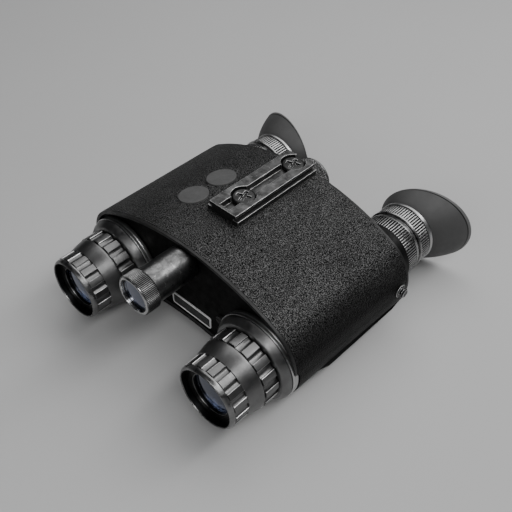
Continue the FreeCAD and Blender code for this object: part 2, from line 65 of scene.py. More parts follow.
def node_of(tree, kind, links=(), **values):
    """New node; each socket in links takes either another node's output or a plain value."""
    node = tree.nodes.new(kind)
    for key, value in values.items():
        setattr(node, key, value)
    for socket, source in links:
        if hasattr(source, "links"):
            tree.links.new(source, node.inputs[socket])
        else:
            node.inputs[socket].default_value = source
    return node


def grey(level, tint=(1.0, 1.0, 1.0)):
    return (level * tint[0], level * tint[1], level * tint[2], 1.0)


def new_material(name):
    material = bpy.data.materials.new(name)
    material.use_nodes = True
    tree = material.node_tree
    tree.nodes.clear()
    out = tree.nodes.new("ShaderNodeOutputMaterial")
    shader = tree.nodes.new("ShaderNodeBsdfPrincipled")
    tree.links.new(shader.outputs[0], out.inputs[0])
    return material, tree, shader


def noise(tree, where, scale, detail=3.0, rough=0.6, distortion=0.0):
    made = node_of(tree, "ShaderNodeTexNoise", [("Vector", where), ("Scale", scale), ("Detail", detail),
                                                ("Roughness", rough), ("Distortion", distortion)])
    return made.outputs["Fac"]


def remap(tree, value, low, high, to_low, to_high):
    made = node_of(tree, "ShaderNodeMapRange", [("Value", value), ("From Min", low), ("From Max", high),
                                                ("To Min", to_low), ("To Max", to_high)])
    return made.outputs[0]


def mix(tree, share, first, second):
    made = node_of(tree, "ShaderNodeMix", [(0, share), (6, first), (7, second)], data_type="RGBA")
    return made.outputs[2]


def multiply(tree, first, second):
    return node_of(tree, "ShaderNodeMath", [(0, first), (1, second)], operation="MULTIPLY").outputs[0]


def bumped(tree, height, strength, distance, normal=None):
    links = [("Height", height), ("Strength", strength), ("Distance", distance)]
    if normal is not None:
        links.append(("Normal", normal))
    return node_of(tree, "ShaderNodeBump", links).outputs[0]


def finish(name, dark, light, metallic, rough, blotch=60.0, grain=2600.0, grain_depth=0.00003,
           rough_swing=0.12, coat=0.0, tint=(1.0, 1.0, 1.0), specular=0.5):
    """Painted, moulded or machined surface: blotchy colour, uneven gloss, fine grain.

    blotch and grain are noise scales per metre, grain_depth is in metres.
    """
    material, tree, shader = new_material(name)
    where = node_of(tree, "ShaderNodeTexCoord").outputs["Object"]
    cloud = noise(tree, where, blotch, 5.0, 0.62)
    share = remap(tree, cloud, 0.3, 0.7, 0.0, 1.0)
    tree.links.new(mix(tree, share, grey(dark, tint), grey(light, tint)), shader.inputs["Base Color"])
    fine = noise(tree, where, grain, 2.0, 0.5)
    uneven = noise(tree, where, blotch * 3.1, 4.0, 0.6)
    tree.links.new(remap(tree, uneven, 0.3, 0.7, rough - rough_swing, rough + rough_swing),
                   shader.inputs["Roughness"])
    tree.links.new(bumped(tree, fine, 1.0, grain_depth), shader.inputs["Normal"])
    shader.inputs["Metallic"].default_value = metallic
    shader.inputs["Coat Weight"].default_value = coat
    shader.inputs["Specular IOR Level"].default_value = specular
    return material


def leatherette():
    """Rough black leather cloth: fine pale specks, with painted light making it brighter on top and painted
    shade darkening the sides.
    """
    material, tree, shader = new_material("leatherette")
    coordinates = node_of(tree, "ShaderNodeTexCoord")
    where = coordinates.outputs["Object"]
    pebble = node_of(tree, "ShaderNodeTexVoronoi", [("Vector", where), ("Scale", 1900.0)])
    fine = noise(tree, where, 3300.0, 2.0, 0.6)
    cloud = noise(tree, where, 45.0, 5.0, 0.65)
    specks = remap(tree, fine, 0.46, 0.62, 0.0, 1.0)
    worn = remap(tree, cloud, 0.32, 0.68, 0.6, 1.25)
    facing = node_of(tree, "ShaderNodeSeparateXYZ", [(0, coordinates.outputs["Normal"])])
    # Painted light and shade: the colour brightens on up-facing surfaces and darkens down the sides.
    painted_top_light = remap(tree, facing.outputs["Z"], 0.25, 0.85, 0.08, 1.0)
    share = multiply(tree, multiply(tree, specks, worn), painted_top_light)
    tree.links.new(mix(tree, share, grey(0.003), grey(0.155)), shader.inputs["Base Color"])
    shader.inputs["Metallic"].default_value = 0.85
    shader.inputs["Specular IOR Level"].default_value = 0.1
    tree.links.new(remap(tree, cloud, 0.3, 0.7, 0.46, 0.6), shader.inputs["Roughness"])
    low = bumped(tree, pebble.outputs["Distance"], 0.8, 0.0002)
    tree.links.new(bumped(tree, fine, 0.7, 0.0001, low), shader.inputs["Normal"])
    return material


def worn_metal(name, dark, light, edge, rough):
    """Machined metal with blotchy wear and thin scratches."""
    material, tree, shader = new_material(name)
    where = node_of(tree, "ShaderNodeTexCoord").outputs["Object"]
    cloud = noise(tree, where, 190.0, 6.0, 0.68, 0.4)
    spots = noise(tree, where, 620.0, 4.0, 0.7)
    base = mix(tree, remap(tree, cloud, 0.38, 0.62, 0.0, 1.0), grey(dark), grey(light))
    base = mix(tree, remap(tree, spots, 0.62, 0.72, 0.0, 0.8), base, grey(edge))
    tree.links.new(base, shader.inputs["Base Color"])
    tree.links.new(remap(tree, cloud, 0.35, 0.65, rough + 0.14, rough - 0.08), shader.inputs["Roughness"])
    tree.links.new(bumped(tree, spots, 0.6, 0.00004), shader.inputs["Normal"])
    shader.inputs["Metallic"].default_value = 1.0
    return material


def glass_with_painted_reflection(name, x, z, radius, deep, bright, reflection_at=(0.0, 0.3)):
    """Coated lens: dark, with a streaky pale painted reflection; the last argument is how far right and down
    it sits, in radii.
    """
    material, tree, shader = new_material(name)
    where = node_of(tree, "ShaderNodeTexCoord").outputs["Object"]
    centre = place(x, 0, z)
    unit = 1 / (radius * MM)
    squash = 1.35
    origin = (-reflection_at[0] - centre.x * unit, 0.0, (reflection_at[1] - centre.z * unit) * squash)
    local = node_of(tree, "ShaderNodeMapping", [("Vector", where), ("Location", origin),
                                                ("Scale", (unit, 0.0, squash * unit))])
    span = node_of(tree, "ShaderNodeVectorMath", [(0, local.outputs[0])], operation="LENGTH").outputs["Value"]
    streaks = noise(tree, local.outputs[0], 1.9, 5.0, 0.62, 0.9)
    # Painted reflection: a pale streaky pool mixed into the base colour.
    painted_reflection = remap(tree, span, 0.05, 0.72, 1.0, 0.0)
    reflection_veil = remap(tree, streaks, 0.38, 0.6, 0.15, 1.0)
    tree.links.new(mix(tree, multiply(tree, painted_reflection, reflection_veil), deep, bright), shader.inputs["Base Color"])
    tree.links.new(remap(tree, streaks, 0.3, 0.7, 0.05, 0.12), shader.inputs["Roughness"])
    shader.inputs["IOR"].default_value = 1.6
    shader.inputs["Coat Weight"].default_value = 1.0
    shader.inputs["Coat Roughness"].default_value = 0.03
    shader.inputs["Coat Tint"].default_value = (0.72, 0.78, 1.0, 1.0)
    return material


M = {
    "cover": finish("cover_moulding", 0.008, 0.016, 0.0, 0.46, 90.0, specular=0.35),
    "plate": finish("plate_paint", 0.002, 0.004, 0.0, 0.55, 120.0, 2200.0, specular=0.06),
    "bottom": finish("bottom_moulding", 0.004, 0.008, 0.0, 0.5, 80.0, 2000.0, 0.00005, specular=0.18),
    "wrap": leatherette(),
    "ring": finish("ring_metal", 0.145, 0.19, 1.0, 0.38, 160.0, 3000.0, 0.00002, rough_swing=0.05),
    "ring_edge": finish("ring_worn_edge", 0.62, 0.8, 1.0, 0.42, 220.0),
    "rim": finish("rim_metal", 0.15, 0.26, 1.0, 0.32, 160.0, 3000.0, 0.00002),
    "collar": finish("collar_metal", 0.12, 0.2, 1.0, 0.4, 120.0, 2600.0, 0.00002),
    "trim": finish("trim_metal", 0.42, 0.54, 1.0, 0.34, 180.0, 2600.0, 0.000008, rough_swing=0.04),
    "eye": finish("eye_metal", 0.26, 0.4, 1.0, 0.3, 220.0, 3000.0, 0.00001),
    # Dark eyepiece metal; also painted shade on the floors of knurl and cap grooves.
    "eye_dark_and_groove_shade": finish("eye_dark_metal_and_groove_shade", 0.012, 0.024, 1.0, 0.5, 220.0),
    "rubber": finish("cup_rubber", 0.048, 0.062, 0.0, 0.6, 60.0, 3800.0, 0.00005),
    "rubber_lip": finish("cup_lip_rubber", 0.1, 0.125, 0.0, 0.5, 60.0, 3800.0, 0.00005),
    # Painted shade in the groove behind the eyecup's lip.
    "cup_groove_shade": finish("cup_groove_shade_rubber", 0.006, 0.01, 0.0, 0.7, 60.0, 3800.0, 0.00005),
    "button": finish("button_rubber", 0.068, 0.086, 0.0, 0.66, 240.0, 5200.0, 0.00004),
    "lamp": worn_metal("lamp_metal", 0.09, 0.24, 0.45, 0.32),
    "lamp_ring": worn_metal("lamp_ring_metal", 0.14, 0.26, 0.45, 0.34),
    "lamp_rim": finish("lamp_rim_metal", 0.4, 0.55, 1.0, 0.2, 200.0),
    "rail": worn_metal("rail_metal", 0.05, 0.15, 0.4, 0.42),
    "rail_edge": worn_metal("rail_edge_metal", 0.4, 0.6, 0.8, 0.32),
    "screw": worn_metal("screw_metal", 0.03, 0.07, 0.2, 0.36),
    "stud": worn_metal("stud_metal", 0.015, 0.04, 0.12, 0.34),
    "cap": finish("cap_metal", 0.16, 0.28, 1.0, 0.38, 200.0),
    # Black baffle metal; also painted shadow on the notch walls and in the collar groove.
    "baffle_and_recess_shade": finish("baffle_black_and_recess_shade", 0.02, 0.035, 1.0, 0.4, 260.0),
    "chassis": finish("chassis_metal", 0.42, 0.55, 1.0, 0.35, 140.0),
    "badge_border": finish("badge_border", 0.62, 0.8, 0.0, 0.42, 400.0),
    "badge_field": finish("badge_field", 0.01, 0.02, 0.0, 0.55, 400.0),
    "board": finish("board_green", 0.05, 0.09, 0.0, 0.35, 300.0, tint=(0.3, 1.0, 0.45)),
    "case": finish("tube_case", 0.02, 0.03, 0.0, 0.55, 200.0),
    "cell": finish("cell_wrapper", 0.05, 0.07, 0.0, 0.3, 200.0, coat=0.6),
    "screen": finish("phosphor", 0.25, 0.35, 0.0, 0.4, 300.0, tint=(0.6, 1.0, 0.5)),
    "led": finish("led_body", 0.5, 0.6, 0.0, 0.15, 300.0, coat=1.0),
}


# ---------------------------------------------------------------- mesh helpers

def round_edges(piece, width, edge_slot):
    """Bevels the sharp edges; the new faces take the material in edge_slot."""
    edge = piece.modifiers.new("edges", "BEVEL")
    edge.width = width * MM
    edge.segments = 2
    edge.limit_method = "ANGLE"
    edge.angle_limit = math.radians(38)
    edge.harden_normals = True
    edge.use_clamp_overlap = True
    edge.material = edge_slot


def add_piece(name, verts, faces, material, body, replaced, sharp=32.0):
    """Closed mesh that rides on a body and stands in for the replaced nodes."""
    mesh = bpy.data.meshes.new(name)
    mesh.from_pydata([tuple(v) for v in verts], [], faces)
    mesh.validate()
    piece = bpy.data.objects.new(name, mesh)
    bpy.context.scene.collection.objects.link(piece)
    for entry in material if isinstance(material, (list, tuple)) else [material]:
        mesh.materials.append(entry)
    work = bmesh.new()
    work.from_mesh(mesh)
    bmesh.ops.recalc_face_normals(work, faces=work.faces)
    work.to_mesh(mesh)
    work.free()
    mesh.shade_smooth()
    mesh.set_sharp_from_angle(angle=math.radians(sharp))
    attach(piece, body)
    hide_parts(*replaced)
    return piece


def softened(profile, radius):
    """Rounds the corners of a closed (r, y) profile."""
    result = []
    count = len(profile)
    for k in range(count):
        before = Vector(profile[k - 1])
        here = Vector(profile[k])
        after = Vector(profile[(k + 1) % count])
        back = before - here
        forth = after - here
        if back.length < 1e-6 or forth.length < 1e-6:
            continue
        reach = min(radius, back.length * 0.45, forth.length * 0.45)
        if abs(back.angle(forth) - math.pi) < math.radians(12) or reach < 0.01:
            result.append(tuple(here))
            continue
        start = here + back.normalized() * reach
        end = here + forth.normalized() * reach
        for t in (0.0, 0.33, 0.67, 1.0):
            spot = start * (1 - t) ** 2 + here * 2 * t * (1 - t) + end * t * t
            result.append(tuple(spot))
    return result


def arc_of(start, middle, end, steps=8):
    """Points of a curve from start through middle to end, without start."""
    start, middle, end = Vector(start), Vector(middle), Vector(end)
    control = middle * 2 - (start + end) / 2
    return [tuple(start * (1 - t) ** 2 + control * 2 * t * (1 - t) + end * t * t)
            for t in [k / steps for k in range(1, steps + 1)]]


def lathe(name, x, z, profile, material, body, replaced, angles=128, shape=None, sharp=32.0,
          slot_at=None):
    """Closed profile of (r, y) turned about the axis through (x, z).

    shape(r, y, a) moves a point, and slot_at(r, y, a) picks a face's material slot.
    """
    turns = angles if isinstance(angles, list) else [TAU * k / angles for k in range(angles)]
    verts = []
    for a in turns:
        for r, y in profile:
            radius, depth = shape(r, y, a) if shape else (r, y)
            verts.append(place(x + radius * math.cos(a), depth, z + radius * math.sin(a)))
    count = len(profile)
    faces = []
    for i in range(len(turns)):
        j = (i + 1) % len(turns)
        for k in range(count):
            m = (k + 1) % count
            faces.append((i * count + k, j * count + k, j * count + m, i * count + m))
    piece = add_piece(name, verts, faces, material, body, replaced, sharp)
    if slot_at:
        centre = place(x, 0, z)
        for face in piece.data.polygons:
            spot = (face.center - centre) / MM
            face.material_index = slot_at(math.hypot(spot.x, spot.z), spot.y, math.atan2(spot.z, spot.x))


def refined(node, material, body, bevel, edge_material):
    """Copy of a CAD node with its edges rounded; edge_material marks them as worn."""
    mesh = nodes[node].data.copy()
    work = bmesh.new()
    work.from_mesh(mesh)
    bmesh.ops.remove_doubles(work, verts=work.verts, dist=2e-6)
    bmesh.ops.dissolve_limit(work, angle_limit=math.radians(0.6), verts=work.verts, edges=work.edges)
    bmesh.ops.recalc_face_normals(work, faces=work.faces)
    work.to_mesh(mesh)
    work.free()
    mesh.name = node + "_look"
    mesh.materials.clear()
    mesh.materials.append(material)
    mesh.materials.append(edge_material)
    for face in mesh.polygons:
        face.material_index = 0
    if "custom_normal" in mesh.attributes:
        mesh.attributes.remove(mesh.attributes["custom_normal"])
    mesh.shade_smooth()
    mesh.set_sharp_from_angle(angle=math.radians(32))
    piece = bpy.data.objects.new(node + "_look", mesh)
    bpy.context.scene.collection.objects.link(piece)
    round_edges(piece, bevel, 1)
    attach(piece, body)
    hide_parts(node)


def repaint(node, material):
    """New look for a CAD node that is shown as it is."""
    mesh = nodes[node].data
    mesh.materials.clear()
    mesh.materials.append(material)
    for face in mesh.polygons:
        face.material_index = 0


# ---------------------------------------------------------------- carried-over CAD nodes

PAINT = {
    "upper_cover": "cover", "leatherette_wrap": "wrap", "bottom_cover": "bottom", "front_plate": "plate",
    "rear_plate": "plate", "chassis": "chassis", "bottom_screws": "screw", "plate_screws": "cover",
    "rail_backing_bar": "chassis", "dome_switches": "case", "button_board": "board", "control_board": "board",
    "battery_tube": "chassis", "battery_cell": "cell", "battery_spring": "eye", "lamp_lens_cell": "baffle_and_recess_shade",
    "lamp_led": "led", "front_button": "button", "rear_button": "button",
}
for name, _ in SIDES:
    PAINT.update({"rear_lens_" + name: "screen", "intensifier_case_" + name: "case",
                  "phosphor_screen_" + name: "screen", "eyepiece_housing_" + name: "eye_dark_and_groove_shade",
                  "eyepiece_cell_" + name: "baffle_and_recess_shade", "field_lens_" + name: "screen"})
for node, key in PAINT.items():
    repaint(node, M[key])


# ---------------------------------------------------------------- objectives

RIBS = 16
NOTCH = math.radians(10.5)
ROWS = ((1.9, 7.3, math.radians(95.7)), (13.1, 18.8, math.radians(83.6)))     # Y from, Y to, angle of a notch
NOTCH_DEPTH = 0.9
NOTCH_DISH = 0.45                       # share of the depth that the hollow floor takes
WALL_STEP = 0.0015
EDGE_ANGLE = math.radians(0.8)          # worn chamfer on each side of a notch
EDGE_DROP = 0.15
FRONT_OPENING_R = 7.3
FRONT_LENS_R = 8.93


def notch_offset(a, phase):
    """Angle from the middle of the nearest notch."""
    step = TAU / RIBS
    return (a - phase + step / 2) % step - step / 2


def notch_angles():
    """Turning angles: close together at the notches, even steps between them."""
    edges = []
    for _, _, phase in ROWS:
        for k in range(RIBS):
            middle = phase + TAU * k / RIBS
            for share in (-0.7, -0.35, 0.0, 0.35, 0.7):
                edges.append((middle + share * NOTCH / 2) % TAU)
            for sign in (-1, 1):
                for reach in (-WALL_STEP, WALL_STEP, EDGE_ANGLE):
                    edges.append((middle + sign * (NOTCH / 2 + reach)) % TAU)
    filler = [TAU * k / 180 for k in range(180)]
    kept = [a for a in filler if min(abs((a - e + math.pi) % TAU - math.pi) for e in edges) > 0.006]
    merged = []
    for a in sorted(edges + kept):
        if not merged or a - merged[-1] > 0.0004:
            merged.append(a)
    return merged


def notched(r, y, a):
    """Sinks the hollow floor of a notch and the chamfers beside it."""
    for y0, y1, phase in ROWS:
        off = abs(notch_offset(a, phase))
        if y0 < y < y1 and r > 11.4:
            if off < NOTCH / 2:
                depth = NOTCH_DEPTH * (1 - NOTCH_DISH * (2 * off / NOTCH) ** 2)
                return r - depth + (0.25 if r < 11.7 else 0.0), y
            if off < NOTCH / 2 + EDGE_ANGLE - WALL_STEP:
                return r - EDGE_DROP, y
    return r, y


def ring_slot(r, y, a):
    """Rim in front, black bore, painted shadow on the notch walls, bright worn edges; the rest is plain ring
    metal.
    """
    if y < 1.9 and r > 10.35:
        return 1
    if r < 10.45:
        return 2
    for y0, y1, phase in ROWS:
        past = abs(notch_offset(a, phase)) - NOTCH / 2
        if y0 < y < y1:
            # Notch walls: painted shadow.
            if abs(past) < WALL_STEP:
                return 2
            if 0 < past < EDGE_ANGLE:
                return 3
    return 0


def focus_ring(name, x):
    """Bezel, two rows of notched ribs and a flared waist between them."""
    outer = [(10.3, 0.9), (10.36, 0.45), (10.5, 0.16), (10.68, 0.12), (10.9, 0.24), (11.2, 0.62), (11.4, 1.1),
             (11.46, 1.5), (11.42, 1.75), (11.15, 1.82), (11.15, 1.98), (11.5, 2.0), (11.6, 2.1), (11.6, 7.1),
             (11.5, 7.2), (11.72, 7.35)]
    outer += arc_of((11.72, 7.35), (12.5, 10.2), (12.88, 12.5), 9)
    outer += [(12.82, 12.8), (12.3, 12.9), (12.3, 13.15), (13.08, 13.2), (13.2, 13.32), (13.2, 18.55),
              (13.1, 18.7), (12.9, 18.74), (11.06, 18.74), (11.06, 8.6), (10.1, 8.6), (10.1, 2.4),
              (10.3, 2.4)]
    lathe("focus_grip_" + name, x, 0, outer, [M["ring"], M["rim"], M["baffle_and_recess_shade"], M["ring_edge"]],
          "focus_ring_body_" + name, ["focus_ring_" + name], notch_angles(), notched,
          slot_at=ring_slot)


def lip_slot(r, y, a):
    return 1 if r < 7.62 and y < 2.5 else 0


def baffles(name, x):
    """Black lens cell with turned grooves and a bright lip round the front lens."""
    profile = [(7.34, 2.55), (7.42, 2.42), (7.58, 2.42), (7.64, 2.56), (8.1, 2.6), (8.16, 2.44), (8.3, 2.44),
               (8.36, 2.6), (8.8, 2.6), (8.86, 2.44), (9.0, 2.44), (9.06, 2.6), (9.48, 2.6), (9.54, 2.44),
               (9.86, 2.44), (9.95, 2.54), (9.95, 27.0), (8.0, 27.0), (8.0, 7.72), (9.0, 7.72), (9.0, 3.18),
               (7.34, 3.18)]
    lathe("objective_barrel_" + name, x, 0, profile, [M["baffle_and_recess_shade"], M["rim"]], "objective_" + name,
          ["objective_cell_" + name], slot_at=lip_slot)


def dome(name, x, z, radius, y_rim, y_front, y_back, material, body, replaced):
    """Closed lens: domed front, flat back."""
    rings = 14
    angles = 96
    verts = [place(x, y_front, z)]
    for k in range(1, rings + 1):
        r = radius * k / rings
        y = y_front + (y_rim - y_front) * (k / rings) ** 2
        verts += [place(x + r * math.cos(TAU * a / angles), y, z + r * math.sin(TAU * a / angles))
                  for a in range(angles)]
    verts += [place(x + radius * math.cos(TAU * a / angles), y_back, z + radius * math.sin(TAU * a / angles))
              for a in range(angles)]
    verts.append(place(x, y_back, z))
    faces = [(0, 1 + (a + 1) % angles, 1 + a) for a in range(angles)]
    for k in range(rings):
        low = 1 + k * angles
        high = low + angles
        faces += [(low + a, low + (a + 1) % angles, high + (a + 1) % angles, high + a) for a in range(angles)]
    last = len(verts) - 1
    base = 1 + rings * angles
    faces += [(last, base + a, base + (a + 1) % angles) for a in range(angles)]
    add_piece(name, verts, faces, material, body, replaced)


def collar_slot(r, y, a):
    """Bright turned edge at the back of the collar, behind a thin groove darkened with painted shade."""
    if r < 14.0 or y < 21.86:
        return 0
    return 1 if y > 22.12 else 2


for name, side in SIDES:
    x = side * AXIS_X
    focus_ring(name, x)
    baffles(name, x)
    # The second colour is the painted reflection in the glass.
    glass = glass_with_painted_reflection("front_glass_" + name, x, 0, FRONT_OPENING_R, (0.003, 0.004, 0.006, 1),
                         (0.5, 0.56, 0.7, 1), (0.2, 0.5))
    dome("front_element_" + name, x, 0, FRONT_LENS_R, 3.8, 2.5, 5.8, glass, "objective_" + name,
         ["front_lens_" + name])
    collar = [(10.06, 9.0), (11.0, 9.0), (11.0, 19.1), (13.9, 19.1), (14.2, 19.25)]
    collar += arc_of((14.2, 19.25), (15.15, 20.6), (15.65, 21.85), 10)
    collar += [(15.4, 21.9), (15.4, 22.1), (15.82, 22.15), (15.9, 22.25), (15.9, 23.1), (15.75, 23.2),
               (12.4, 23.2), (12.4, 29.6), (10.06, 29.6)]
    lathe("tube_collar_" + name, x, 0, collar, [M["collar"], M["trim"], M["baffle_and_recess_shade"]], "housing",
          ["collar_" + name], slot_at=collar_slot)
    trim = [(12.45, 23.22), (15.5, 23.22), (15.8, 23.5), (15.8, 24.6), (15.2, 24.95), (12.45, 24.95)]
    lathe("tube_trim_" + name, x, 0, softened(trim, 0.15), M["trim"], "housing",
          ["trim_ring_" + name])


# ---------------------------------------------------------------- eyepieces

TEETH = 74
KNURL_DEPTH = 0.3
TOOTH_CROWN = 0.09                      # how far a tooth falls away at its flanks
SLEEVE_R = 10.36
EYE_LENS_R = 8.5


def knurl(low, high, teeth, from_r, depth):
    """Makes a shape for lathe that cuts a straight knurl between low and high."""
    def shape(r, y, a):
        turn = (a * teeth / TAU) % 1.0
        if not low < y < high or r < from_r:
            return r, y
        if 0.5 < turn < 0.95:
            return r - depth, y
        off = (turn + 0.05) % 1.0 / 0.275 - 1
        return r - TOOTH_CROWN * off * off, y
    return shape


def knurl_angles(teeth):
    marks = (0.0, 0.16, 0.34, 0.49, 0.51, 0.72, 0.94, 0.96)
    return [TAU * (k + m) / teeth for k in range(teeth) for m in marks]


def groove_slot(low, high, floor):
    """Makes a slot_at that gives the groove floors of a knurl the second slot, a dark painted shade."""
    def pick(r, y, a):
        return 1 if low < y < high and floor - 0.5 < r < floor else 0
    return pick


def eyepiece(name, x):
    """Dioptre ring, lock ring and seat ring round the eye lens."""
    turns = knurl_angles(TEETH)
    both = [M["eye"], M["eye_dark_and_groove_shade"]]
    grip = [(SLEEVE_R, 87.8), (11.35, 87.8), (11.45, 87.9), (11.45, 88.15), (11.75, 88.2), (11.85, 88.3),
            (11.85, 93.45), (11.75, 93.6), (11.88, 93.62), (11.9, 93.9), (11.3, 95.7), (11.15, 95.8),
            (SLEEVE_R, 95.8)]
    lathe("dioptre_grip_" + name, x, 0, grip, both, "dioptre_body_" + name,
          ["dioptre_ring_" + name], turns, knurl(88.17, 93.61, TEETH, 11.6, KNURL_DEPTH),
          slot_at=groove_slot(88.25, 93.55, 11.66))
    lock = [(SLEEVE_R, 96.1), (11.65, 96.1), (11.9, 96.2), (11.98, 96.4), (11.98, 96.7), (11.8, 96.9),
            (11.35, 96.95), (11.6, 97.05), (11.68, 97.2), (11.68, 101.9), (11.55, 102.05), (11.2, 102.08),
            (SLEEVE_R, 102.08)]
    lathe("cup_lock_" + name, x, 0, lock, both, "lock_ring_body_" + name,
          ["eyecup_lock_ring_" + name], turns, knurl(97.0, 102.07, TEETH, 11.5, KNURL_DEPTH),
          slot_at=groove_slot(97.1, 102.0, 11.5))
    seat = softened([(10.3, 102.4), (11.6, 102.4), (11.85, 102.7), (11.85, 103.6), (11.5, 103.9),
                     (10.6, 103.9), (10.6, 107.4), (9.0, 107.4), (9.0, 103.05), (10.3, 103.05)], 0.12)
    lathe("cup_seat_" + name, x, 0, seat, M["trim"], "housing", ["eyecup_seat_" + name])
    # The second colour is the painted reflection in the glass.
    glass = glass_with_painted_reflection("eye_glass_" + name, x, 0, EYE_LENS_R, (0.01, 0.012, 0.012, 1), (0.1, 0.16, 0.12, 1))
    dome("eye_element_" + name, x, 0, EYE_LENS_R, 99.8, 101.6, 96.6, glass, "eyepiece_" + name,
         ["eye_lens_" + name])


CUP_TILT = 16.6                         # slant of the rim, in degrees
CUP_FROM = 104.3
CUP_TO = 112.0
CUP_R = 11.5
CUP_WIDE = 17.35
CUP_OUTWARD = 2.85                      # the rim reaches further away from the nose
CUP_HIGH = 15.2
CUP_ANGLES = 144
CUP_WALL = 1.3
CUP_BORE = 10.68
LIP_FROM = 0.93                         # share of the cone where the lip starts, behind its groove


def eyecup(name, x, side):
    """Thin rubber funnel, round at its seat and a slanted oval at its rim, with a bead and a groove."""

    def loop(share, inset, along=0.0):
        """Oval at a share of the way from seat to rim, inset in its own plane, moved along its axis."""
        grow = max(share, 0.0) ** 0.8
        y = CUP_FROM + (CUP_TO - CUP_FROM) * share
        turn = side * math.radians(CUP_TILT) * share
        wide = CUP_R + (CUP_WIDE - CUP_R) * grow - inset
        high = CUP_R + (CUP_HIGH - CUP_R) * grow - inset
        made = []
        for k in range(CUP_ANGLES):
            a = TAU * k / CUP_ANGLES
            u = wide * math.cos(a) + side * CUP_OUTWARD * grow
            made.append(place(x + u * math.cos(turn) - along * math.sin(turn),
                              y + u * math.sin(turn) + along * math.cos(turn), high * math.sin(a)))
        return made

    def flat(radius, y):
        """Circle square to the tube."""
        return [place(x + radius * math.cos(TAU * k / CUP_ANGLES), y, radius * math.sin(TAU * k / CUP_ANGLES))
                for k in range(CUP_ANGLES)]

    loops = [flat(CUP_BORE, 104.15), flat(11.3, 104.12), flat(11.45, 104.25)]
    steps = 18
    for k in range(1, steps + 1):
        loops.append(loop(0.885 * k / steps, 0.0))
    groove_starts = len(loops)
    loops += [loop(0.892, 0.12), loop(0.896, 0.5), loop(0.918, 0.5), loop(0.922, 0.1)]
    lip_starts = len(loops) - 1
    loops += [loop(LIP_FROM, 0.0), loop(0.96, 0.0), loop(0.985, 0.0), loop(1.0, 0.05, -0.1),
              loop(1.0, 0.3, 0.0), loop(1.0, 0.6, 0.0), loop(1.0, 0.78, -0.15)]
    lip_ends = len(loops)
    loops += [loop(0.985, 0.86), loop(0.97, 1.3), loop(0.955, 1.45), loop(0.94, CUP_WALL)]
    for k in range(steps - 1, 5, -1):
        loops.append(loop(0.94 * k / steps, CUP_WALL))
    loops += [flat(11.4, 107.2), flat(CUP_BORE, 107.1)]
    verts = [v for one in loops for v in one]
    count = CUP_ANGLES
    faces = []
    for i in range(len(loops)):
        j = (i + 1) % len(loops)
        for k in range(count):
            m = (k + 1) % count
            faces.append((i * count + k, i * count + m, j * count + m, j * count + k))
    cup = add_piece("rubber_cup_" + name, verts, faces, [M["rubber"], M["rubber_lip"], M["cup_groove_shade"]],
                    "eyecup_body_" + name, ["eyecup_" + name], sharp=50.0)
    for face in cup.data.polygons:
        ring = face.index // count
        # The groove rings take painted shade; the lip rings take the lighter rubber.
        if groove_starts <= ring < lip_starts:
            face.material_index = 2
        elif lip_starts <= ring < lip_ends:
            face.material_index = 1


for name, side in SIDES:
    eyepiece(name, side * AXIS_X)
    eyecup(name, side * AXIS_X, side)


# ---------------------------------------------------------------- lamp

LAMP_Z = (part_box("lamp_barrel")[0].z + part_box("lamp_barrel")[1].z) / 2 / MM - AXIS_Z / MM
LAMP_TEETH = 80
LAMP_KNURL_DEPTH = 0.26
LAMP_LENS_R = 5.28


def lamp_slot(r, y, a):
    """Bright rim and bore, painted shade on the groove floors; the rest is plain ring metal."""
    if y < 2.82 or r < 5.9:
        return 2
    return 1 if 2.95 < y < 7.65 and 6.6 < r < 6.82 else 0


lamp_grip = [(5.75, 2.75), (5.85, 2.5), (6.0, 2.42), (6.3, 2.45), (6.62, 2.7), (6.66, 2.86), (6.9, 2.92),
             (6.98, 3.0), (6.98, 7.55), (6.88, 7.7), (6.5, 7.8), (5.56, 7.8), (5.56, 4.5), (5.75, 4.5)]
lathe("lamp_grip", 0, LAMP_Z, lamp_grip, [M["lamp_ring"], M["eye_dark_and_groove_shade"], M["lamp_rim"]], "lamp_ring_body",
      ["lamp_focus_ring"], knurl_angles(LAMP_TEETH),
      knurl(2.88, 7.75, LAMP_TEETH, 6.7, LAMP_KNURL_DEPTH), slot_at=lamp_slot)
barrel = [(4.2, 4.6), (5.5, 4.6), (5.5, 8.1), (6.05, 8.1), (6.2, 8.25), (6.2, 22.2)]
barrel += arc_of((6.2, 22.2), (5.7, 24.25), (4.5, 24.97), 10)
barrel += [(4.0, 24.98), (4.0, 28.5), (2.6, 28.5), (2.6, 20.0), (4.2, 20.0)]
lathe("lamp_body", 0, LAMP_Z, barrel, M["lamp"], "housing", ["lamp_barrel"])
# The second colour is the painted reflection in the glass.
lamp_glass = glass_with_painted_reflection("lamp_glass", 0, LAMP_Z, 5.3, (0.006, 0.008, 0.012, 1), (0.06, 0.07, 0.1, 1))
dome("lamp_window", 0, LAMP_Z, LAMP_LENS_R, 3.6, 3.2, 4.15, lamp_glass, "lamp_cell_body",
     ["lamp_lens"])


# ---------------------------------------------------------------- battery cap with diamond knurl

CAP_Z = (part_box("battery_cap")[0].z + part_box("battery_cap")[1].z) / 2 / MM - AXIS_Z / MM
CAP_TEETH = 56
CAP_R = 7.5
CAP_FROM = 81.0
CAP_TO = 87.2
CAP_GROOVE = 0.3
CAP_STEPS = 56


def cap_groove(y, a):
    """1 in the middle of a crossing groove, 0 on top of a diamond."""
    along = (y - CAP_FROM) / (TAU * 7.4 / CAP_TEETH)
    turn = a * CAP_TEETH / TAU
    return 1 - 2 * min(abs((turn + along) % 1.0 - 0.5), abs((turn - along) % 1.0 - 0.5))


def cap_shape(r, y, a):
    if r < CAP_R - 0.2 or not CAP_FROM < y < CAP_TO:
        return r, y
    return r - CAP_GROOVE * cap_groove(y, a) ** 2, y


